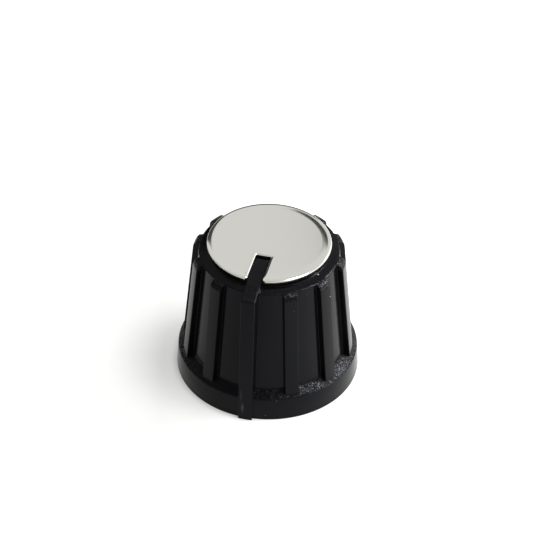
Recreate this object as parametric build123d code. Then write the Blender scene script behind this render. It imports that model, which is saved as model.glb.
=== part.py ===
from build123d import *
import os
from math import sqrt

# Fluted, skirted control knob for a 6 mm spindle: a hollow moulded body with eleven ribs and a
# raised pointer, a thin metal trim cap on its top, the film that holds the cap down, and a leaf
# spring that presses on the flat of the spindle.
#
# Millimetres, +Z up. The origin is on the spindle axis, in the plane that the skirt stands on.
# The pointer lies along -Y, and the flat of the spindle faces +Y.

# Skirt: the plain band at the foot, with a sloping ledge above it
skirt_foot_radius = 9.50
skirt_edge_radius = 9.35
skirt_height = 2.50
skirt_edge_bevel = 0.12

# Cone: the grip between the ledge and the shoulder
cone_foot_radius = 8.28
cone_foot_height = 3.20
cone_top_radius = 7.08
cone_top_height = 14.70

# Ribs: equal stations round the cone, of which the pointer takes one
station_count = 12
rib_width = 1.43
rib_foot_radius = 8.98
rib_top_radius = 7.74
rib_top_height = 14.10
rib_crown_radius = 7.50
rib_crown_height = 14.48
rib_edge_fillet = 0.12

# Boss: the low round seat inside the shoulder, which carries the cap
boss_radius = 6.22
boss_foot_height = 14.98
boss_height = 0.38

# Pointer: one fin, from near the axis over the shoulder and down to the standing plane
pointer_width = 1.44
pointer_inner_radius = 2.60
pointer_rise = 0.12
pointer_bend_radius = 6.90
pointer_corner_radius = 9.03
pointer_corner_drop = 0.38
pointer_foot_radius = 9.80
pointer_edge_fillet = 0.14

# Hollow underside, with a hub on webs
skirt_wall = 1.30
ledge_wall = 1.55
cone_wall = 1.35
top_wall = 2.25
hub_radius = 4.40
hub_recess = 2.20
web_count = 6
web_thickness = 0.90
web_recess = 3.00

# Spindle socket: a round lead-in at its mouth, then D-shaped
spindle_radius = 3.00
spindle_flat_distance = 1.50
lead_in_clearance = 0.25
drive_clearance = 0.05
lead_in_length = 3.20
socket_length = 11.20
socket_mouth_chamfer = 0.30

# Leaf spring, bowed towards the flat of the spindle, pushed up into a slot behind that flat
spring_thickness = 0.30
spring_width = 2.60
spring_length = 5.60
spring_pad_length = 0.80
spring_bite = 0.10
spring_side_clearance = 0.10
spring_end_clearance = 0.25
spring_slot_depth = 0.75

# Cap and the film under it
film_thickness = 0.10
film_inset = 0.25
cap_radius = 6.34
cap_thickness = 0.42
cap_edge_fillet = 0.20
cap_notch_clearance = 0.07
cap_notch_gap = 0.26
cap_notch_fillet = 0.35

# How far fused shapes run into each other
sink = 0.40

# Worked out from the values above
boss_top = boss_foot_height + boss_height
cap_seat = boss_top + film_thickness
pointer_height = boss_top + pointer_rise
pointer_corner_height = pointer_height - pointer_corner_drop
ledge_slope = (cone_foot_height - skirt_height) / (skirt_edge_radius - cone_foot_radius)
lead_in_radius = spindle_radius + lead_in_clearance
drive_radius = spindle_radius + drive_clearance
drive_flat_distance = spindle_flat_distance + drive_clearance
drive_start = hub_recess + lead_in_length
socket_end = hub_recess + socket_length
spring_middle = (drive_start + socket_end) / 2
spring_seat = drive_flat_distance + spring_slot_depth
notch_width = pointer_width + 2 * cap_notch_clearance
notch_inner_radius = pointer_inner_radius - cap_notch_gap


def ledge_height(radius):
    """Height of the ledge's surface, or of its line carried inwards, at a radius."""
    return skirt_height + ledge_slope * (skirt_edge_radius - radius)


def spun(*points):
    """A solid of revolution about Z from (radius, height) points, closed along the axis."""
    outline = [(0, points[0][1]), *points, (0, points[-1][1])]
    return revolve(make_face(Plane.XZ * Polyline(*outline, close=True)), Axis.Z)


def upright_plate(width, *points):
    """A plate of the given width standing on the -Y side, from (radius, height) points."""
    outline = [(-radius, height) for radius, height in points]
    return extrude(make_face(Plane.YZ * Polyline(*outline, close=True)), width / 2, both=True)


def round_bar(radius, foot, head):
    """An upright cylinder on the axis, between two heights."""
    return Pos(0, 0, (foot + head) / 2) * Cylinder(radius, head - foot)


def block(width, near, far, foot, head):
    """A block centred on X, from near to far along Y and from foot to head in height."""
    middle = Pos(0, (near + far) / 2, (foot + head) / 2)
    return middle * Box(width, abs(far - near), head - foot)


def turned_copies(shape, places, count):
    """Copies of a shape at the given places of a round pattern that has count places."""
    return [Rot(0, 0, 360 / count * place) * shape for place in places]


def make_core():
    """Skirt, ledge, cone, shoulder and boss."""
    core = spun(
        (skirt_foot_radius, 0),
        (skirt_edge_radius, skirt_height),
        (cone_foot_radius, cone_foot_height),
        (cone_top_radius, cone_top_height),
        (boss_radius, boss_foot_height),
        (boss_radius, boss_top),
    )
    skirt_edge = core.edges().filter_by(GeomType.CIRCLE).sort_by(
        lambda edge: abs(edge.radius - skirt_edge_radius) + abs(edge.center().Z - skirt_height)
    )[0]
    return chamfer(skirt_edge, skirt_edge_bevel)


def make_rib():
    """One rib, on the -Y side: a parallel-sided slice of a wider cone with a bevelled crown."""
    foot = ledge_height(rib_foot_radius)
    taper = (rib_foot_radius - rib_top_radius) / (rib_top_height - foot)
    root = foot - sink
    wide_cone = spun(
        (rib_foot_radius + taper * sink, root),
        (rib_top_radius, rib_top_height),
        (rib_crown_radius, rib_crown_height),
        (cone_top_radius, cone_top_height),
    )
    rib = wide_cone & block(rib_width, -skirt_foot_radius, 0, root, cone_top_height)
    corners = rib.edges().filter_by(
        lambda edge: -edge.center().Y > rib_crown_radius and edge.length > rib_top_height / 2
    )
    return fillet(corners, rib_edge_fillet)


def make_pointer():
    """The fin that shows the setting: level over the seat of the cap, then down to the foot."""
    inside = cone_top_radius - sink
    fin = upright_plate(
        pointer_width,
        (pointer_inner_radius, boss_top - sink),
        (pointer_inner_radius, pointer_height),
        (pointer_bend_radius, pointer_height),
        (pointer_corner_radius, pointer_corner_height),
        (pointer_foot_radius, 0),
        (inside, 0),
        (inside, boss_top - sink),
    )
    corners = fin.edges().filter_by(
        lambda edge: abs(edge.center().X) > pointer_width / 4
        and (edge.center().Z > pointer_corner_height or -edge.center().Y > pointer_corner_radius)
    )
    return fillet(corners, pointer_edge_fillet)


def make_cavity():
    """The hollow under the cone, less the hub and its webs."""
    band = skirt_edge_radius - skirt_wall
    neck = cone_foot_radius - cone_wall
    ceiling = boss_top - top_wall
    hollow = spun(
        (skirt_foot_radius - skirt_wall, 0),
        (band, ledge_height(band) - ledge_wall),
        (neck, ledge_height(neck) - ledge_wall),
        (cone_top_radius - cone_wall, ceiling),
    )
    hub = round_bar(hub_radius, hub_recess, boss_top)
    web = block(web_thickness, -skirt_foot_radius, 0, web_recess, boss_top)
    return hollow - hub - turned_copies(web, range(web_count), web_count)


def make_socket():
    """The space that the spindle fills, and the leaf spring's slot, which opens into the lead-in."""
    lead_in = round_bar(lead_in_radius, hub_recess, drive_start)
    mouth_middle = hub_recess + socket_mouth_chamfer / 2
    mouth = Cone(lead_in_radius + socket_mouth_chamfer, lead_in_radius, socket_mouth_chamfer)
    drive = round_bar(drive_radius, drive_start - sink, socket_end)
    drive -= block(2 * drive_radius, drive_flat_distance, 2 * drive_radius, drive_start - sink, socket_end)
    slot = block(
        spring_width + 2 * spring_side_clearance,
        drive_flat_distance - sink,
        spring_seat,
        drive_start - sink,
        spring_middle + spring_length / 2 + spring_end_clearance,
    )
    return lead_in + Pos(0, 0, mouth_middle) * mouth + drive + slot


def make_body():
    """The one-piece moulding."""
    ribs = turned_copies(make_rib(), range(1, station_count), station_count)
    return make_core() + ribs + make_pointer() - make_cavity() - make_socket()


def make_spring():
    """A strip with two flat ends in the slot and a bow between them."""
    crest = spindle_flat_distance - spring_bite
    face = spring_seat - spring_thickness
    bow = face - crest
    half_chord = spring_length / 2 - spring_pad_length
    front_radius = (half_chord**2 + bow**2) / (2 * bow)
    back_radius = front_radius - spring_thickness
    back_chord = sqrt(bow * (2 * back_radius - bow))
    foot = spring_middle - spring_length / 2
    head = spring_middle + spring_length / 2
    front = [
        Line((face, foot), (face, spring_middle - half_chord)),
        ThreePointArc(
            (face, spring_middle - half_chord), (crest, spring_middle), (face, spring_middle + half_chord)
        ),
        Line((face, spring_middle + half_chord), (face, head)),
    ]
    back = [
        Line((face, head), (spring_seat, head)),
        Line((spring_seat, head), (spring_seat, spring_middle + back_chord)),
        ThreePointArc(
            (spring_seat, spring_middle + back_chord),
            (crest + spring_thickness, spring_middle),
            (spring_seat, spring_middle - back_chord),
        ),
        Line((spring_seat, spring_middle - back_chord), (spring_seat, foot)),
        Line((spring_seat, foot), (face, foot)),
    ]
    outline = make_face(Plane.YZ * Curve(front + back))
    return extrude(outline, spring_width / 2, both=True)


def make_disc(radius, thickness, seat, width, inner_radius):
    """A disc with a slot of the given width let in from its -Y edge, lying at the height seat."""
    disc = round_bar(radius, seat, seat + thickness)
    return disc - block(width, -2 * radius, -inner_radius, seat, seat + thickness)


def make_film():
    """The die-cut adhesive film under the cap."""
    return make_disc(
        cap_radius - film_inset,
        film_thickness,
        boss_top,
        notch_width + 2 * film_inset,
        notch_inner_radius - film_inset,
    )


def make_cap():
    """The trim cap, with rounded mouth corners at its slot and a rounded upper edge."""
    cap = make_disc(cap_radius, cap_thickness, cap_seat, notch_width, notch_inner_radius)
    mouth = cap.edges().filter_by(Axis.Z).sort_by(Axis.Y)[:2]
    cap = fillet(mouth, cap_notch_fillet)
    return fillet(cap.faces().sort_by(Axis.Z)[-1].edges(), cap_edge_fillet)


os.makedirs("parts", exist_ok=True)
export_step(make_body(), "parts/knob_body.step")
export_step(make_cap(), "parts/cap.step")
export_step(make_film(), "parts/cap_film.step")
export_step(make_spring(), "parts/shaft_spring.step")
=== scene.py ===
# %% [markdown]
# # A fluted amplifier knob
# The knob is one black moulding: a skirt, a tapered grip with eleven ribs, and a pointer fin that
# runs from the middle of the top down to the table. A thin bright trim cap is stuck on the top,
# with a slot that the pointer shows through. Underneath are a hub for the spindle, six webs and a
# leaf spring. The construction model is loaded first. It fixes every size and place, and each
# piece made here is laid over its part of that model.

# %% Load the fixed model
import math

import bmesh
import bpy
from mathutils import Matrix, Vector


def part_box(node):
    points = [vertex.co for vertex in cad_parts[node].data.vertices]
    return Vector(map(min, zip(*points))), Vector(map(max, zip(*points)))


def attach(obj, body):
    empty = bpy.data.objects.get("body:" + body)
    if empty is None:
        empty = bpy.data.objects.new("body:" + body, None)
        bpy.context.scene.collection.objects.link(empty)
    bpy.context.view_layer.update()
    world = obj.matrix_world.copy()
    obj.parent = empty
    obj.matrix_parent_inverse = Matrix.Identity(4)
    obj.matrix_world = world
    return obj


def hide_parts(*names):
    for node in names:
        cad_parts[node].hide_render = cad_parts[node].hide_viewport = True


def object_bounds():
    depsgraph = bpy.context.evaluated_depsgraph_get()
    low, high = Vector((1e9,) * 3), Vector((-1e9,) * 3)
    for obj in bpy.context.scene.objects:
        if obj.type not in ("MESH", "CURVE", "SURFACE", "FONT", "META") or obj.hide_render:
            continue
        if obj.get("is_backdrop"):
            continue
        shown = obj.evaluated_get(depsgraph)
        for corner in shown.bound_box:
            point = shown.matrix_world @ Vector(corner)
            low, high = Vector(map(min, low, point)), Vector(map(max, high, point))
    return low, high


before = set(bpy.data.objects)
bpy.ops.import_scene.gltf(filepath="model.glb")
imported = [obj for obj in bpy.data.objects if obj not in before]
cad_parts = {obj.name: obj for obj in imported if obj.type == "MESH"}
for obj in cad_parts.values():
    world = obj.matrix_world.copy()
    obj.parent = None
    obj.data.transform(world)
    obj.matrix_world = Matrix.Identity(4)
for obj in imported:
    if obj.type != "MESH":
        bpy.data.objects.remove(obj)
cad_low, cad_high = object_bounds()
print("model, mm:", [round(1000 * (b - a), 2) for a, b in zip(cad_low, cad_high)])

# %% [markdown]
# ## Sizes
# Blender works in metres and the knob is drawn in millimetres, so one factor joins the two. The
# radii and heights are the ones that the moulding is made to, apart from the crowns of the ribs
# and the top of the cone: those stand up to 0.14 mm further out than in the construction model,
# which makes up for what their soft edges take away. The sizes are named once, so that the grip,
# the pointer and the cap can't drift apart.

# %% Sizes of the moulding, in millimetres
MM = 0.001
skirt_foot_radius, skirt_edge_radius, skirt_height = 9.50, 9.35, 2.50
cone_foot_radius, cone_foot_height = 8.28, 3.20
cone_top_radius, cone_top_height = 7.20, 14.77
rib_width, rib_foot_radius, rib_top_radius = 1.43, 8.98, 7.88
rib_top_height, rib_crown_radius, rib_crown_height = 14.22, 7.64, 14.62
boss_radius, boss_foot_height, boss_top = 6.22, 14.98, 15.36
pointer_width, pointer_inner_radius, pointer_height = 1.44, 2.60, 15.48
pointer_bend_radius, pointer_corner_radius, pointer_corner_height = 6.90, 9.03, 15.10
pointer_foot_radius = 9.80
outside_ends, underside_starts = 9.30, 8.60  # both on the flat of the skirt's foot
body_low, body_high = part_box("knob_body")
print("moulding reaches", round(-body_low.y / MM, 2), "out and", round(body_high.z / MM, 2), "up")

# %% [markdown]
# ## Soft turns
# No edge of a moulding is perfectly sharp: the tool's corners are a tenth of a millimetre round,
# and those small rounds catch the light as thin bright lines. A bevel modifier could add them, but
# on a shape with this many joins it leaves pinched faces. So each outline is drawn with its rounds
# already in it. A turn is a short curve from one side of a corner to the other, and it always
# has the same number of points, so outlines with the same corners can be joined point by point.

# %% A soft turn, and an outline made of them
TURN = 4


def turn(start, corner, end, steps=TURN):
    """Points of a soft turn from start to end, drawn towards the corner."""
    shares = [i / steps for i in range(steps + 1)]
    return [start * (1 - t) ** 2 + corner * (2 * t * (1 - t)) + end * t**2 for t in shares]


def outline(corners, spans=2):
    """(radius, height) points along corners given as (radius, height, set-back of the turn)."""
    spots = [Vector(corner[:2]) for corner in corners]
    line = [spots[0]]
    for before, here, after, corner in zip(spots, spots[1:], spots[2:], corners[1:]):
        start = here + (before - here).normalized() * corner[2]
        end = here + (after - here).normalized() * corner[2]
        line += [line[-1].lerp(start, i / spans) for i in range(1, spans)]
        line += turn(start, here, end)
    line += [line[-1].lerp(spots[-1], i / spans) for i in range(1, spans)]
    return line + [spots[-1]]


sample = outline([(0, 0, 0), (2, 0, 0.5), (2, 3, 0)])
print("a square corner with a soft turn has", len(sample), "points")

# %% [markdown]
# ## The outside of the moulding
# Seen from the side, the moulding has three outlines: one in the gap between two ribs, one down the
# middle of a rib, and one down the pointer. They have the same number of corners in the same
# order, from the top of the boss down to the table. Where a rib isn't there, its outline simply
# follows the one in the gap.

# %% The three outlines of the outside
def on_line(height, low, high):
    """Radius at a height on the line through two (radius, height) points."""
    return low[0] + (high[0] - low[0]) * (height - low[1]) / (high[1] - low[1])


cone_foot, cone_top = (cone_foot_radius, cone_foot_height), (cone_top_radius, cone_top_height)
ledge_edge = (skirt_edge_radius, skirt_height)
rib_top, rib_crown = (rib_top_radius, rib_top_height), (rib_crown_radius, rib_crown_height)
pointer_corner, pointer_foot = (pointer_corner_radius, pointer_corner_height), (pointer_foot_radius, 0)
ledge_slope = (cone_foot_height - skirt_height) / (skirt_edge_radius - cone_foot_radius)
rib_foot_height = skirt_height + ledge_slope * (skirt_edge_radius - rib_foot_radius)
top_start, crown_on_wall = 1.40, 14.50
pair_gap, boss_run = 0.06, 0.30  # place spare corners on flat parts, to pair with real ones
hidden_top = [(top_start, boss_top, 0), (pointer_inner_radius - pair_gap, boss_top, 0.03)]
boss_and_shoulder = [
    (pointer_inner_radius + pair_gap, boss_top, 0.03),
    (boss_radius, boss_top, 0.05),
    (boss_radius, boss_foot_height, 0.05),
    (cone_top_radius, cone_top_height, 0.12),
]
skirt = [(*ledge_edge, 0.12), (skirt_foot_radius, 0, 0.04), (outside_ends, 0, 0)]

gap_line = outline([
    *hidden_top,
    *boss_and_shoulder,
    (on_line(crown_on_wall, cone_foot, cone_top), crown_on_wall, 0.02),
    (on_line(rib_top_height, cone_foot, cone_top), rib_top_height, 0.05),
    (*cone_foot, 0.16),
    *skirt,
])
rib_line = outline([
    *hidden_top,
    *boss_and_shoulder[:-1],
    (*cone_top, 0.10),
    (*rib_crown, 0.14),
    (*rib_top, 0.12),
    (rib_foot_radius, rib_foot_height, 0.14),
    *skirt,
])
pointer_line = outline([
    (top_start, boss_top, 0),
    (pointer_inner_radius, boss_top, 0.03),
    (pointer_inner_radius, pointer_height, 0.06),
    (boss_radius - boss_run, pointer_height, 0.10),
    (boss_radius, pointer_height, 0.10),
    (pointer_bend_radius, pointer_height, 0.20),
    (*pointer_corner, 0.16),
    (on_line(rib_top_height, pointer_foot, pointer_corner), rib_top_height, 0.10),
    (on_line(cone_foot_height, pointer_foot, pointer_corner), cone_foot_height, 0.10),
    (on_line(skirt_height, pointer_foot, pointer_corner), skirt_height, 0.10),
    (*pointer_foot, 0.04),
    (skirt_foot_radius, 0, 0),
])
print("points in each outline:", len(gap_line), len(rib_line), len(pointer_line))

# %% [markdown]
# ## From outlines to rings
# The moulding is laid as rings, each joining the same point of every outline. A ring is made of
# stations, one for each rib. Across half a station it runs along the rib's face, turns over the
# outer edge, goes straight down the flank, turns again at the root and follows the round wall
# to the middle of the gap. The flanks stay parallel all the way down. The same step draws the
# pointer, and later the webs underneath, because a web is only a rib that points inwards.
#
# Near the axis the pointer is wider than its twelfth share of the ring. There its own station
# opens, and the points of the other eleven are pushed together to make room.

# %% Rings made of stations
FACE_COLUMNS, GAP_COLUMNS = 3, 6
MOST_OF_STATION = 0.9  # near the axis a rib takes at most this share of the room it has
FLUSH = 1e-6  # a rib that stands out by less than this has no depth


def half_station(gap, face, width, edge, root, reach, gap_columns=GAP_COLUMNS):
    """(angle, radius, height) from the middle of a rib to the middle of the gap, for one ring."""
    side = min(width / 2, MOST_OF_STATION * gap.x * math.sin(reach) - root)
    depth = (face - gap).length
    edge_share = min(edge / depth, 0.5) if depth > FLUSH else 0.5
    root_share = min(root / depth, 0.5) if depth > FLUSH else 0.5
    plan = [Vector((i / FACE_COLUMNS * (side - edge), 1)) for i in range(FACE_COLUMNS)]
    plan += turn(Vector((side - edge, 1)), Vector((side, 1)), Vector((side, 1 - edge_share)))
    plan += turn(Vector((side, root_share)), Vector((side, 0)), Vector((side + root, 0)))
    half = []
    for across, share in plan:
        spot = gap.lerp(face, share)
        half.append((math.asin(min(across / spot.x, 1)), spot.x, spot.y))
    start = half[-1][0]
    half += [(start + (reach - start) * i / gap_columns, *gap) for i in range(1, gap_columns + 1)]
    return half


def ring(halves):
    """Points of one ring, from the gap before the first station, which faces the pointer's side."""
    points, step = [], 2 * math.pi / len(halves)
    for place, half in enumerate(halves):
        both = [(-angle, *rest) for angle, *rest in half[:0:-1]] + half[:-1]
        for angle, radius, height in both:
            around = place * step + angle
            points.append(Vector((radius * math.sin(around), -radius * math.cos(around), height)) * MM)
    return points


STATIONS = 12
mid_gap = math.pi / STATIONS
edge_round, root_round = 0.07, 0.04
spare_width, spare_angle = 0.10, 0.05
outside = []
for gap, rib, pointer in zip(gap_line, rib_line, pointer_line):
    needed = math.asin(min((pointer_width / 2 + spare_width) / gap.x, 1)) + spare_angle
    opened = max(mid_gap, needed)
    wide = half_station(gap, pointer, pointer_width, edge_round, root_round, opened)
    plain = half_station(gap, rib, rib_width, edge_round, root_round, mid_gap)
    row = ring([wide] + [plain] * (STATIONS - 1))
    if opened > mid_gap:
        squeeze = (math.pi - opened) / (math.pi - mid_gap)
        pointer_columns = 2 * (len(wide) - 1)
        for i in range(pointer_columns, len(row)):
            angle = math.atan2(row[i].x, -row[i].y) % (2 * math.pi) - math.pi
            radius = gap.x * MM
            around = math.pi + angle * squeeze
            row[i] = Vector((radius * math.sin(around), -radius * math.cos(around), row[i].z))
    outside.append(row)
print("outside:", len(outside), "rings of", len(outside[0]), "points")

# %% [markdown]
# ## The hollow underside
# A knob is moulded hollow so that the plastic cools evenly. A hub in the middle takes the spindle,
# and six webs tie it to the wall. Here one outline goes up the wall, across the ceiling and down
# the hub, and another follows the lower edge of a web. The flank of a web is then the flat
# surface between them.

# %% Outlines of the underside
ceiling, web_foot, hub_radius, hub_foot = 13.11, 3.00, 4.40, 2.20
lead_in_radius, mouth_chamfer, drive_start, drive_radius, drive_flat = 3.25, 0.30, 5.40, 3.05, 1.55
socket_end, slot_side, slot_back, slot_end = 13.40, 1.40, 2.30, 12.45
wall_neck, wall_top = (6.93, 2.53), (5.73, ceiling)
band_foot, band_head = (8.20, 0), (8.05, 1.80)
wall_foot = [(underside_starts, 0, 0), (*band_foot, 0.04), (*band_head, 0.10), (*wall_neck, 0.10)]
mouth = [
    (hub_radius, hub_foot, 0.08),
    (lead_in_radius + mouth_chamfer, hub_foot, 0.03),
    (lead_in_radius, hub_foot + mouth_chamfer, 0.03),
    (lead_in_radius, drive_start, 0),
]
cell_line = outline([*wall_foot, (*wall_top, 0.25), (hub_radius, ceiling, 0.25), *mouth])
web_on_wall = on_line(web_foot, wall_neck, wall_top)
web_line = outline([*wall_foot, (web_on_wall, web_foot, 0.10), (hub_radius, web_foot, 0.10), *mouth])
print("points in each outline:", len(cell_line), len(web_line))

# %% Rings of the underside
WEBS = 6
web_thickness, web_edge_round, web_root_round = 0.90, 0.08, 0.15
columns_each = len(outside[0]) // (2 * WEBS)
cell_columns = columns_each - FACE_COLUMNS - 2 * TURN - 1
underside = []
for cell, web in zip(cell_line, web_line):
    half = half_station(
        cell, web, web_thickness, web_edge_round, web_root_round, math.pi / WEBS, cell_columns
    )
    row = ring([half] * WEBS)
    underside.append(row[columns_each // 2 :] + row[: columns_each // 2])  # starts as the outside does
print("underside:", len(underside), "rings of", len(underside[0]), "points")

# %% [markdown]
# ## The socket
# The spindle is a 6 mm rod with a flat along one side, so its socket is a D, with a narrow slot
# behind the flat for the spring. Its outline is found along the same rays from the axis as the
# points of the round lead-in, so the two join without a fold. The ray nearest to each corner is
# turned to meet it, which keeps the corners crisp.

# %% The D-shaped socket
TINY = 1e-9  # keeps a division away from zero


def socket_reach(from_flat, back):
    """How far the socket goes out from the axis, at an angle from the middle of its flat."""
    if from_flat >= math.pi / 2:
        return drive_radius
    drive = min(drive_radius, drive_flat / math.cos(from_flat))
    slot = min(slot_side / max(math.sin(from_flat), TINY), back / math.cos(from_flat))
    return max(drive, slot)


def socket_ring(height, back):
    """One ring of the D at a height, its flat let back that far between the slot's sides."""
    rays = [math.atan2(spot.x, -spot.y) for spot in underside[-1]]
    in_slot, at_slot = math.atan2(slot_side, back), math.atan2(slot_side, drive_flat)
    for corner in (in_slot, at_slot, math.acos(drive_flat / drive_radius)):
        for target in (math.pi - corner, corner - math.pi):
            nearest = min(range(len(rays)), key=lambda i: abs(rays[i] - target))
            rays[nearest] = target
    row = []
    for ray in rays:
        reach = socket_reach(math.pi - abs(ray), back)
        row.append(Vector((reach * math.sin(ray), -reach * math.cos(ray), height)) * MM)
    return row


socket = [socket_ring(drive_start, slot_back), socket_ring(slot_end, slot_back)]
socket += [socket_ring(slot_end, drive_flat), socket_ring(socket_end, drive_flat)]
print("socket:", len(socket), "rings of", len(socket[0]), "points")

# %% [markdown]
# ## Skinning the rings
# Neighbouring rings are joined by four-sided faces, and the first and the last ring are closed by
# one face each, so the moulding is a single watertight skin. Columns that meet where a rib
# has no depth are merged. Creases sharper than 40 degrees stay crisp, or 60 on the cap, and a
# weighted-normal modifier keeps the wide faces flat beside their small rounds.

# %% A mesh from rings
WELD, NO_LENGTH = 1e-7, 1e-8  # in metres: points this close are one, and edges this short go


def skin(name, rings, sharp=40):
    """An object whose skin joins the rings in order, closed at both ends."""
    shape = bmesh.new()
    rows = [[shape.verts.new(spot) for spot in row] for row in rings]
    for row, following in zip(rows, rows[1:]):
        for i in range(len(row)):
            shape.faces.new((row[i - 1], row[i], following[i], following[i - 1]))
    shape.faces.new(rows[0])
    shape.faces.new(rows[-1][::-1])
    bmesh.ops.remove_doubles(shape, verts=shape.verts, dist=WELD)
    bmesh.ops.dissolve_degenerate(shape, edges=shape.edges, dist=NO_LENGTH)
    bmesh.ops.recalc_face_normals(shape, faces=shape.faces)
    mesh = bpy.data.meshes.new(name)
    shape.to_mesh(mesh)
    open_edges = sum(len(edge.link_faces) != 2 for edge in shape.edges)
    shape.free()
    mesh.shade_smooth()
    mesh.set_sharp_from_angle(angle=math.radians(sharp))
    piece = bpy.data.objects.new(name, mesh)
    bpy.context.scene.collection.objects.link(piece)
    weighted = piece.modifiers.new("Flat faces stay flat", "WEIGHTED_NORMAL")
    weighted.keep_sharp = True
    print(name, len(mesh.polygons), "faces, open edges:", open_edges)
    return piece


moulding = skin("moulded_body", outside + underside + socket)
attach(moulding, "root")
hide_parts("knob_body")

# %% [markdown]
# ## The trim cap
# The cap is a disc punched from thin aluminium sheet and polished. Punching draws the sheet's upper
# edge down, and polishing wears it further, so the flat top falls away gently at first and then
# rolls over. Along the rim that roll is a millimetre wide, and it gives the cap its bright and dark
# rim. Along the slot it is about a third of that. A bevel modifier can't change its width along an
# edge, so two outlines are drawn, one for the wall and one for the flat, and the roll joins them.

# %% Outlines of the cap
cap_radius, cap_seat, cap_thickness = 6.34, 15.46, 0.42
slot_half, slot_inner = 0.79, 2.34
rim_roll, slot_roll, rim_fall, slot_fall = 1.00, 0.34, 0.20, 0.13
END_COLUMNS, END_TURN, SIDE_COLUMNS, MOUTH_TURN, RIM_COLUMNS = 6, 6, 12, 8, 110


def both_halves(half, mirror):
    """A closed round of points from its right half, the left one mirrored from it."""
    return half + [mirror(spot) for spot in half[-2:0:-1]]


def cap_outline(inset, rim_inset, soft_end, soft_mouth):
    """Points round the cap in plan, stepped in from the slot and the rim, with soft corners."""
    half_width, end, radius = slot_half + inset, inset - slot_inner, cap_radius - rim_inset
    corner = Vector((half_width, end))
    mouth = Vector((half_width, -math.sqrt(radius**2 - half_width**2)))
    inside_mouth = mouth + Vector((0, soft_mouth))
    swing = math.asin(half_width / radius) + soft_mouth / radius
    rim_start = Vector((math.sin(swing), -math.cos(swing))) * radius
    half = [Vector((i / END_COLUMNS * (half_width - soft_end), end)) for i in range(END_COLUMNS)]
    half += turn(corner - Vector((soft_end, 0)), corner, corner - Vector((0, soft_end)), END_TURN)
    half += [half[-1].lerp(inside_mouth, i / SIDE_COLUMNS) for i in range(1, SIDE_COLUMNS)]
    half += turn(inside_mouth, mouth, rim_start, MOUTH_TURN)
    for i in range(1, RIM_COLUMNS + 1):
        around = swing + (math.pi - swing) * i / RIM_COLUMNS
        half.append(Vector((math.sin(around), -math.cos(around))) * radius)
    return both_halves(half, lambda spot: Vector((-spot.x, spot.y)))


wall_plan = cap_outline(inset=0, rim_inset=0, soft_end=0.16, soft_mouth=0.45)
flat_plan = cap_outline(inset=slot_roll, rim_inset=rim_roll, soft_end=0.34, soft_mouth=0.30)
slot_part = [0] * (END_COLUMNS + END_TURN + SIDE_COLUMNS)
mouth_part = [i / MOUTH_TURN for i in range(MOUTH_TURN + 1)]
on_rim = both_halves(slot_part + mouth_part + [1] * RIM_COLUMNS, float)
print("cap outlines:", len(wall_plan), len(flat_plan), len(on_rim), "points")

# %% The cap, from its underside up to its flat
lower_edge, cap_rows = 0.20, 18  # the lower edge is set in by a share of the roll, up to a height
falls = [slot_fall + (rim_fall - slot_fall) * share for share in on_rim]
levels = [(lower_edge, 0, 0), (0, 0, lower_edge)]
for i in range(cap_rows + 1):
    angle = math.radians(90) * i / cap_rows
    levels.append((1 - math.cos(angle), 1 - math.sin(angle), cap_thickness))
rings = []
for inward, below, height in levels:
    row = []
    for wall, flat, fall in zip(wall_plan, flat_plan, falls):
        spot = wall.lerp(flat, inward)
        row.append(Vector((spot.x, spot.y, cap_seat + height - fall * below)) * MM)
    rings.append(row)
cap = skin("trim_cap", rings, sharp=60)
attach(cap, "root")
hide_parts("cap")

# %% [markdown]
# ## Colours and nodes
# Colours are written as the hex values that a paint chart gives and turned to linear light by one
# function. Every material is a Principled BSDF with a few pattern nodes, which are added by
# one small function that takes a node's kind, its settings and what feeds it.

# %% Helpers for materials
def linear(hex_colour):
    """Linear RGBA of an sRGB hex colour."""
    values = [int(hex_colour[i : i + 2], 16) / 255 for i in (1, 3, 5)]
    return [v / 12.92 if v <= 0.04045 else ((v + 0.055) / 1.055) ** 2.4 for v in values] + [1.0]


def add(tree, kind, inputs=None, **settings):
    """A node with its settings; an input is a value or another node's output."""
    node = tree.nodes.new(kind)
    for name, value in settings.items():
        setattr(node, name, value)
    for name, value in (inputs or {}).items():
        if isinstance(value, bpy.types.NodeSocket):
            tree.links.new(value, node.inputs[name])
        else:
            node.inputs[name].default_value = value
    return node


def material(name, **shader):
    """A new material and its Principled BSDF, with plain values set on the shader itself."""
    made = bpy.data.materials.new(name)
    made.use_nodes = True
    principled = made.node_tree.nodes["Principled BSDF"]
    for socket, value in shader.items():
        principled.inputs[socket.replace("_", " ")].default_value = value
    return made, principled


def dress(piece, made):
    """Gives a piece one material."""
    piece.data.materials.clear()
    piece.data.materials.append(made)


print("mid grey #808080 is", round(linear("#808080")[0], 3), "in linear light")

# %% [markdown]
# ## Black ABS with a spark-eroded texture
# The knob is moulded from black ABS. Its tool was spark-eroded, and the steep walls were then
# polished along the way the moulding leaves the tool, so they are smooth, with only faint flow
# marks. The ledge, the crowns of the ribs and the pointer's sloping top keep the pitted grain, and
# where the light grazes that grain it breaks into bright specks. A bump map of this grain would be
# averaged away at this size, so each pit is a small facet that leans its own way: a Voronoi pattern
# gives every cell a random colour, and that colour is added to the normal. Squaring it leaves most
# facets nearly flat and a few well tilted. A pit of the grain is about 0.15 mm across and has a
# bright and a dark side, so a facet is 0.08 mm wide.
#
# ABS has an IOR of about 1.53. Worn, slightly dull plastic shines less than that gives, so the
# specular level is set low.

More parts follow.
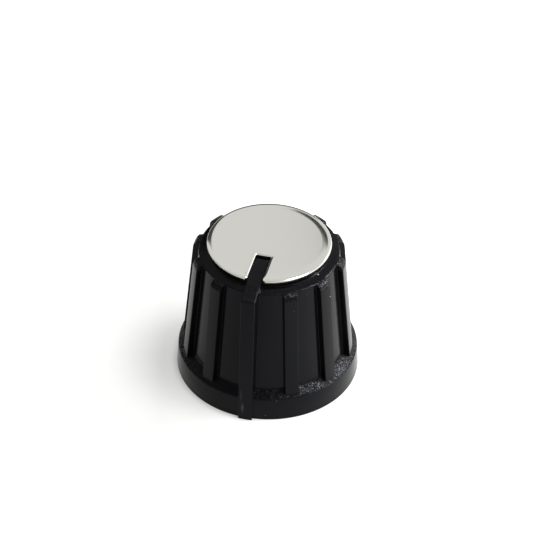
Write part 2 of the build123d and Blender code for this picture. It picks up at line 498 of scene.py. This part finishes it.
# %% Moulded ABS
black = linear("#050506")
abs_plastic, shader = material(
    "moulded black ABS", Base_Color=black, Roughness=0.20, IOR=1.53,
    Specular_IOR_Level=0.088, Specular_Tint=linear("#f1f3ff"),
)
tree = abs_plastic.node_tree
place = add(tree, "ShaderNodeTexCoord")
wave_length, wave_depth, facet_width, most_lean = 0.6 * MM, 0.006 * MM, 0.082 * MM, 1.25
flow = add(tree, "ShaderNodeTexNoise", {"Vector": place.outputs["Object"], "Scale": 1 / wave_length})
bump = add(tree, "ShaderNodeBump", {
    "Height": flow.outputs["Fac"], "Strength": 1.0, "Distance": wave_depth
})
print("flow marks of", round(wave_length / MM, 2), "mm, facets of", round(facet_width / MM, 2), "mm")

# %% Where the grain is
wall_slope, crown_slope = 0.12, 0.32  # how much a face looks up: walls hardly do, crowns do
seat_foot, shoulder_edge, grain_on_seat = 14.84 * MM, 14.74 * MM, 0.08
bend_top, bend_foot, slope_foot, grain_on_slope = 15.46 * MM, 15.40 * MM, 15.04 * MM, 0.8
facing = add(tree, "ShaderNodeSeparateXYZ", {"Vector": place.outputs["Normal"]})
above = add(tree, "ShaderNodeSeparateXYZ", {"Vector": place.outputs["Object"]}).outputs["Z"]
off_walls = add(tree, "ShaderNodeMapRange", {
    "Value": facing.outputs["Z"], "From Min": wall_slope, "From Max": crown_slope
})
below_seat = add(tree, "ShaderNodeMapRange", {
    "Value": above, "From Min": seat_foot, "From Max": shoulder_edge, "To Min": grain_on_seat
})
below_bend = add(tree, "ShaderNodeMapRange", {
    "Value": above, "From Min": bend_top, "From Max": bend_foot, "To Max": grain_on_slope
})
on_pointer = add(tree, "ShaderNodeMath", {0: above, 1: slope_foot}, operation="GREATER_THAN")
slope = add(tree, "ShaderNodeMath", {
    0: below_bend.outputs["Result"], 1: on_pointer.outputs["Value"]
}, operation="MULTIPLY")
either = add(tree, "ShaderNodeMath", {
    0: below_seat.outputs["Result"], 1: slope.outputs["Value"]
}, operation="MAXIMUM")
grainy = add(tree, "ShaderNodeMath", {
    0: off_walls.outputs["Result"], 1: either.outputs["Value"]
}, operation="MULTIPLY")
print("grain below", round(shoulder_edge / MM, 2), "mm and on the pointer's slope")

# %% How far its facets lean
lean_by = add(tree, "ShaderNodeMath", {0: grainy.outputs["Value"], 1: most_lean}, operation="MULTIPLY")
facets = add(tree, "ShaderNodeTexVoronoi", {
    "Vector": place.outputs["Object"], "Scale": 1 / facet_width
})
evened = add(tree, "ShaderNodeVectorMath", {
    0: facets.outputs["Color"], 1: (0.5, 0.5, 0.5)
}, operation="SUBTRACT")
unsigned = add(tree, "ShaderNodeVectorMath", {0: evened.outputs["Vector"]}, operation="ABSOLUTE")
squared = add(tree, "ShaderNodeVectorMath", {
    0: evened.outputs["Vector"], 1: unsigned.outputs["Vector"]
}, operation="MULTIPLY")
lean = add(tree, "ShaderNodeVectorMath", {
    0: squared.outputs["Vector"], "Scale": lean_by.outputs["Value"]
}, operation="SCALE")
leaning = add(tree, "ShaderNodeVectorMath", {
    0: bump.outputs["Normal"], 1: lean.outputs["Vector"]
}, operation="ADD")
unit = add(tree, "ShaderNodeVectorMath", {0: leaning.outputs["Vector"]}, operation="NORMALIZE")
tree.links.new(unit.outputs["Vector"], shader.inputs["Normal"])
smooth_roughness, grain_roughness = 0.19, 0.30
satin = add(tree, "ShaderNodeMapRange", {
    "Value": grainy.outputs["Value"], "To Min": smooth_roughness, "To Max": grain_roughness
})
tree.links.new(satin.outputs["Result"], shader.inputs["Roughness"])
dress(moulding, abs_plastic)
print("textured:", moulding.name, "with", len(tree.nodes), "nodes")

# %% [markdown]
# ## Dust and a scuff
# The knob has been handled. A few grains of pale dust cling to the ribs, the shoulder and the
# skirt, and the foot of the pointer has a short pale scuff where it has rubbed. Each mark is a
# small ellipsoid placed in millimetres: a mapping node moves its centre to zero and scales it to a
# radius of one, and inside that radius the black gives way to the dust's colour.

# %% Marks on the moulding
def masked(tree, position, marks):
    """How much each point is covered by marks of (centre, half-widths, cover), in millimetres."""
    cover = 0.0
    for centre, reach, amount in marks:
        scale = [1 / (half * MM) for half in reach]
        shift = [-c * MM * k for c, k in zip(centre, scale)]
        moved = add(tree, "ShaderNodeMapping", {"Vector": position, "Location": shift, "Scale": scale})
        away = add(tree, "ShaderNodeVectorMath", {0: moved.outputs["Vector"]}, operation="LENGTH")
        spot = add(tree, "ShaderNodeMapRange", {
            "Value": away.outputs["Value"], "From Min": 1.0, "From Max": 0.2, "To Max": amount
        })
        most = add(tree, "ShaderNodeMath", {0: cover, 1: spot.outputs["Result"]}, operation="MAXIMUM")
        cover = most.outputs["Value"]
    return cover


dust_and_scuff = [
    ((5.74, -2.84, 14.93), (0.09, 0.09, 0.09), 0.9),
    ((7.20, -3.49, 12.89), (0.07, 0.07, 0.07), 0.6),
    ((4.23, -6.78, 13.00), (0.06, 0.06, 0.06), 0.15),
    ((5.19, -5.08, 14.01), (0.06, 0.06, 0.06), 0.10),
    ((3.09, -8.84, 2.42), (0.06, 0.06, 0.06), 0.3),
    ((2.06, -9.24, 0.53), (0.06, 0.06, 0.06), 0.3),
    ((-0.45, -9.64, 3.00), (0.12, 0.30, 1.10), 0.03),
    ((-0.28, -9.74, 1.50), (0.20, 0.30, 0.80), 0.07),
]
cover = masked(tree, place.outputs["Object"], dust_and_scuff)
black_to_dust = add(tree, "ShaderNodeValToRGB", {"Fac": cover})
black_to_dust.color_ramp.elements[0].color = black
black_to_dust.color_ramp.elements[1].color = linear("#b9b7b1")
tree.links.new(black_to_dust.outputs["Color"], shader.inputs["Base Color"])
print("marks on the moulding:", len(dust_and_scuff))

# %% [markdown]
# ## Polished aluminium
# The cap is polished aluminium, which is almost colourless. Polishing leaves very slight waves, a
# millimetre or two long, which make the reflections near the rim waver, and a faint satin haze.
# Beside the slot there is one small dark pit.

# %% Cap
bright = linear("#efeeea")
polished, shader = material("polished aluminium", Base_Color=bright, Metallic=1.0, Roughness=0.10)
tree = polished.node_tree
place = add(tree, "ShaderNodeTexCoord").outputs["Object"]
wave_length, wave_depth = 1.6 * MM, 0.006 * MM
waves = add(tree, "ShaderNodeTexNoise", {"Vector": place, "Scale": 1 / wave_length, "Detail": 1.0})
bump = add(tree, "ShaderNodeBump", {
    "Height": waves.outputs["Fac"], "Strength": 0.10, "Distance": wave_depth
})
tree.links.new(bump.outputs["Normal"], shader.inputs["Normal"])
pits = masked(tree, place, [((-1.11, -5.50, 15.88), (0.07, 0.07, 0.07), 0.9)])
bright_to_pit = add(tree, "ShaderNodeValToRGB", {"Fac": pits})
bright_to_pit.color_ramp.elements[0].color = bright
bright_to_pit.color_ramp.elements[1].color = linear("#3c3a37")
tree.links.new(bright_to_pit.outputs["Color"], shader.inputs["Base Color"])
dress(cap, polished)
print("polished:", cap.name)

# %% [markdown]
# ## The two pieces that hardly show
# The film under the cap is a pale acrylic adhesive, and the spring is a strip of tempered steel.
# Their construction shapes are right as they are, so they keep them and only get a finish.
# Rolled strip has fine lines along its length, a tenth of a millimetre apart.

# %% Film and spring
film_finish, shader = material("acrylic adhesive film", Base_Color=linear("#cfc9b4"), Roughness=0.55)
tree = film_finish.node_tree
place = add(tree, "ShaderNodeTexCoord").outputs["Object"]
mottle_width = 0.8 * MM
mottle = add(tree, "ShaderNodeTexNoise", {"Vector": place, "Scale": 1 / mottle_width, "Detail": 3.0})
ramp = add(tree, "ShaderNodeValToRGB", {"Fac": mottle.outputs["Fac"]})
ramp.color_ramp.elements[0].color = linear("#c3bca6")
ramp.color_ramp.elements[1].color = linear("#d9d4c2")
tree.links.new(ramp.outputs["Color"], shader.inputs["Base Color"])
dress(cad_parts["cap_film"], film_finish)

spring_steel, shader = material(
    "tempered spring steel", Base_Color=linear("#b9babd"), Metallic=1.0, Roughness=0.30
)
tree = spring_steel.node_tree
place = add(tree, "ShaderNodeTexCoord").outputs["Object"]
line_width, line_length, line_depth = 0.1 * MM, 2.5 * MM, 0.004 * MM
drawn_out = add(tree, "ShaderNodeMapping", {
    "Vector": place, "Scale": (1 / line_width, 1 / line_length, 1 / line_length)
})
fine_lines = add(tree, "ShaderNodeTexNoise", {
    "Vector": drawn_out.outputs["Vector"], "Scale": 1.0, "Detail": 2.0
})
bump = add(tree, "ShaderNodeBump", {
    "Height": fine_lines.outputs["Fac"], "Strength": 0.4, "Distance": line_depth
})
tree.links.new(bump.outputs["Normal"], shader.inputs["Normal"])
dress(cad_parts["shaft_spring"], spring_steel)

# %% [markdown]
# ## The table
# The knob stands on a white acrylic table. The table is given a painted glow: its emission keeps it
# pale right up to the knob, though it is no lamp. The glow is painted brighter on the right and
# dimmer on the left, which deepens the soft shadow that falls there, and a thin dark contact shade is
# painted where the skirt meets the sheet. The table is only a stage, so it is marked as one and isn't
# part of the knob. All that stands round the knob is placed from the line of sight, which is turned a
# little from the pointer.

# %% White table
line_of_sight = math.radians(13.3)
table_mesh = bpy.data.meshes.new("white_table")
half_side = 1.2
table_mesh.from_pydata(
    [(x * half_side, y * half_side, 0) for x, y in ((-1, -1), (1, -1), (1, 1), (-1, 1))],
    [], [(0, 1, 2, 3)],
)
table = bpy.data.objects.new("white_table", table_mesh)
bpy.context.scene.collection.objects.link(table)
table_painted_light, shader = material("acrylic table with painted light", Base_Color=linear("#dadad9"), Roughness=0.7, IOR=1.49)
# The emission is a painted glow: the table gives off light of its own, though it is no lamp.
shader.inputs["Emission Color"].default_value = linear("#ffffff")
tree = table_painted_light.node_tree
place = add(tree, "ShaderNodeTexCoord").outputs["Object"]
turned = add(tree, "ShaderNodeMapping", {"Vector": place, "Rotation": (0, 0, -line_of_sight)})
across = add(tree, "ShaderNodeSeparateXYZ", {"Vector": turned.outputs["Vector"]}).outputs["X"]
# Painted light and shade: the glow rises from dim on the left, where the shadow falls, to full on the
# right.
painted_glow_left, painted_glow_right, painted_shade_glow, painted_light_glow, contact = -11 * MM, 14 * MM, 0.32, 1.05, 0.8 * MM
painted_side_light = add(tree, "ShaderNodeMapRange", {
    "Value": across, "From Min": painted_glow_left, "From Max": painted_glow_right,
    "To Min": painted_shade_glow, "To Max": painted_light_glow,
})
# Painted contact shade: close to the skirt the glow is darkened into a thin dark line.
painted_contact_shade = add(tree, "ShaderNodeAmbientOcclusion", {"Distance": contact})
painted_glow = add(tree, "ShaderNodeMath", {
    0: painted_side_light.outputs["Result"], 1: painted_contact_shade.outputs["AO"]
}, operation="MULTIPLY")
tree.links.new(painted_glow.outputs["Value"], shader.inputs["Emission Strength"])
dress(table, table_painted_light)
table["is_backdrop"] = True
print("table:", 2 * half_side, "m square")

# %% [markdown]
# ## Light
# One soft box hangs high on the right. It lights the table and throws the soft shadow to the left.
# Two small boxes on the right pick out the ribs and the edge of the ledge: one is high and a little
# behind the knob, and one is low beside it. They would burn out the cap and the table, so they are
# linked to the moulding alone. The side towards the viewer is left dim, so the black front stays
# deep.

# %% Soft boxes
def towards(azimuth, elevation, distance):
    """A point seen from the knob: azimuth in degrees to the right of straight behind it."""
    around, lift = math.radians(azimuth), math.radians(elevation)
    flat = Vector((math.sin(around), math.cos(around), 0)) * math.cos(lift)
    spot = Matrix.Rotation(line_of_sight, 3, "Z") @ (flat + Vector((0, 0, math.sin(lift))))
    return spot * distance


def soft_box(name, at, side, brightness):
    """A square area light of that side in metres and that brightness, turned towards the knob."""
    light = bpy.data.lights.new(name, "AREA")
    light.shape, light.size = "SQUARE", side
    light.energy = brightness * math.pi * side**2
    lamp = bpy.data.objects.new(name, light)
    lamp.location = at
    lamp.rotation_euler = (knob_middle - at).to_track_quat("-Z", "Y").to_euler()
    bpy.context.scene.collection.objects.link(lamp)
    return lamp


knob_middle, box_distance, side_box_size = Vector((0, 0, 8 * MM)), 0.6, 0.12
soft_box("key_soft_box", towards(92, 67, box_distance), 0.20, 14.0)
lit_by_side = bpy.data.collections.new("lit by the side boxes")
lit_by_side.objects.link(moulding)
for name, azimuth, elevation, brightness in (("side_box", 66, 45, 165), ("low_side_box", 97, 8, 50)):
    side_box = soft_box(name, towards(azimuth, elevation, box_distance), side_box_size, brightness)
    side_box.light_linking.receiver_collection = lit_by_side

# %% [markdown]
# ## The light tent
# Polished metal shows all that stands round it, so bright goods are lit in a tent of white cloth.
# The flat of the cap shows the cloth behind it, and its rolled rim shows the rest of the tent in
# turn. So the tent is drawn as the world: six lines run round the knob, and each gives a brightness
# or a height at every azimuth, in degrees to the right of straight behind the knob. A height is the
# sine of an elevation, so 0 is the horizon and 1 is straight above.
#
# The cloth line says how bright the walls are. They start at the hem, which is raised behind the
# knob and leaves a dark space under it, and end at the head. Above the head is the ceiling, which is
# brighter behind the knob than on the viewer's side. A small gap in the cloth draws the dark stroke
# in the cap's rim, and a side window adds to the light from the right.

# %% The tent's plan and heights
sky = bpy.data.worlds.new("light tent")
sky.use_nodes = True
tree = sky.node_tree
place = add(tree, "ShaderNodeTexCoord").outputs["Generated"]
turned = add(tree, "ShaderNodeMapping", {"Vector": place, "Rotation": (0, 0, -line_of_sight)})
around = add(tree, "ShaderNodeTexGradient", {
    "Vector": turned.outputs["Vector"]
}, gradient_type="RADIAL")
height = add(tree, "ShaderNodeSeparateXYZ", {"Vector": place}).outputs["Z"]
plan = {
    "cloth": [
        (-89, 0.25), (-60, 0.40), (-40, 0.67), (90, 0.67), (110, 0.80), (130, 1.10), (160, 1.10),
        (180, 0.95), (-150, 0.80), (-110, 0.30), (-91, 0.25),
    ],
    "side window": [(-60, 0), (28, 0), (36, 0.6), (100, 0.6), (120, 0)],
    "hem": [
        (-60, 0), (-38, 0), (-35, 0.36), (-29, 0.49), (-21, 0.60), (-16, 0.63), (-13, 0.62),
        (-11, 0.33), (12, 0.33), (18, 0), (90, 0),
    ],
    "head": [(-89, 0.6), (-45, 0.85), (12, 0.90), (100, 0.90), (130, 0.6), (-91, 0.6)],
    "ceiling": [(-100, 0.40), (-70, 0.60), (70, 0.60), (100, 0.40)],
    "gap's foot": [
        (-60, 0.7), (2.4, 0.7), (3, 0.45), (7.5, 0.45), (10, 0.49), (14, 0.53), (17, 0.7), (90, 0.7),
    ],
}
print("the tent has", len(plan), "lines drawn round the knob")


# %% The lines round the knob
def fill(stops_node, stops):
    """Gives a colour ramp its (position, grey) stops."""
    elements = stops_node.color_ramp.elements
    elements.remove(elements[1])
    elements[0].position, elements[0].color = stops[0][0], (*[stops[0][1]] * 3, 1)
    for position, grey in stops[1:]:
        elements.new(position).color = (*[grey] * 3, 1)


straight_behind = 0.75  # what the radial gradient reads there
lines = {}
for name, stops in plan.items():
    drawn = add(tree, "ShaderNodeValToRGB", {"Fac": around.outputs["Fac"]})
    fill(drawn, sorted(((straight_behind - azimuth / 360) % 1, grey) for azimuth, grey in stops))
    lines[name] = drawn.outputs["Color"]
print("drawn:", sorted(lines))

# %% The edges between the tent's parts
gap_head, window_head = 0.628, 0.70
edges = {}
for name, upper, lower, softness in (
    ("over the hem", height, lines["hem"], 0.03),
    ("under the head", lines["head"], height, 0.03),
    ("over the gap's foot", height, lines["gap's foot"], 0.02),
    ("under the gap's head", gap_head, height, 0.015),
    ("under the window's head", window_head, height, 0.03),
):
    apart = add(tree, "ShaderNodeMath", {0: upper, 1: lower}, operation="SUBTRACT")
    edge = add(tree, "ShaderNodeMapRange", {
        "Value": apart.outputs["Value"], "From Min": -softness, "From Max": softness
    })
    edges[name] = edge.outputs["Result"]
print("edges:", len(edges))

# %% Putting the tent together
dim = 0.05  # what is left where there is no cloth
gap = add(tree, "ShaderNodeMath", {
    0: edges["over the gap's foot"], 1: edges["under the gap's head"]
}, operation="MULTIPLY")
shut = add(tree, "ShaderNodeMath", {0: 1.0, 1: gap.outputs["Value"]}, operation="SUBTRACT")
hung = add(tree, "ShaderNodeMath", {
    0: edges["over the hem"], 1: shut.outputs["Value"]
}, operation="MULTIPLY")
cloth = add(tree, "ShaderNodeMath", {
    0: hung.outputs["Value"], 1: lines["cloth"]
}, operation="MULTIPLY")
# Under the head the wall takes the ceiling's place, so only what differs from the ceiling is added.
lower = add(tree, "ShaderNodeMath", {
    0: cloth.outputs["Value"], 1: lines["ceiling"]
}, operation="SUBTRACT")
wall = add(tree, "ShaderNodeMath", {
    0: lower.outputs["Value"], 1: edges["under the head"]
}, operation="MULTIPLY")
window = add(tree, "ShaderNodeMath", {
    0: lines["side window"], 1: edges["under the window's head"]
}, operation="MULTIPLY")
both = add(tree, "ShaderNodeMath", {
    0: wall.outputs["Value"], 1: window.outputs["Value"]
}, operation="ADD")
over = add(tree, "ShaderNodeMath", {0: both.outputs["Value"], 1: lines["ceiling"]}, operation="ADD")
strength = add(tree, "ShaderNodeMath", {0: over.outputs["Value"], 1: dim}, operation="ADD")
background = tree.nodes["Background"]
background.inputs["Color"].default_value = linear("#fffffc")
tree.links.new(strength.outputs["Value"], background.inputs["Strength"])
bpy.context.scene.world = sky
bpy.context.scene.view_settings.view_transform = "Standard"

# %% [markdown]
# ## Camera
# The knob is seen with a long lens, about 0.26 m away, from 40 degrees above and with its
# pointer turned a little to the left. The camera is built from its direction rather than aimed at
# a target, so that its small tilt is exact.

# %% Camera
pitch, roll = math.radians(39.54), math.radians(0.905)
level, lifted = Vector((1, 0, 0)), Vector((0, math.sin(pitch), math.cos(pitch)))
right = level * math.cos(roll) + lifted * math.sin(roll)
up = lifted * math.cos(roll) - level * math.sin(roll)
ahead = Vector((0, math.cos(pitch), -math.sin(pitch)))
pose = Matrix((right, up, -ahead)).transposed().to_4x4()
pose.translation = Vector((-0.257, -197.1, 175.2)) * MM
lens = bpy.data.cameras.new("long_lens")
lens.sensor_width, lens.lens = 36, 168.86
lens.clip_start, lens.clip_end = 0.01, 10
camera = bpy.data.objects.new("camera", lens)
camera.matrix_world = Matrix.Rotation(line_of_sight, 4, "Z") @ pose
bpy.context.scene.collection.objects.link(camera)
bpy.context.scene.camera = camera
print("camera is", round(camera.matrix_world.translation.length, 3), "m away")

# %% [markdown]
# ## The two boxes
# The dressed knob has to fill the same box as the construction model, so both boxes are printed
# side by side.

# %% Print both boxes side by side
seen_low, seen_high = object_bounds()
for axis, a, b, c, d in zip("xyz", cad_low, seen_low, cad_high, seen_high):
    print(axis, "low", round(a / MM, 3), round(b / MM, 3), "high", round(c / MM, 3), round(d / MM, 3))
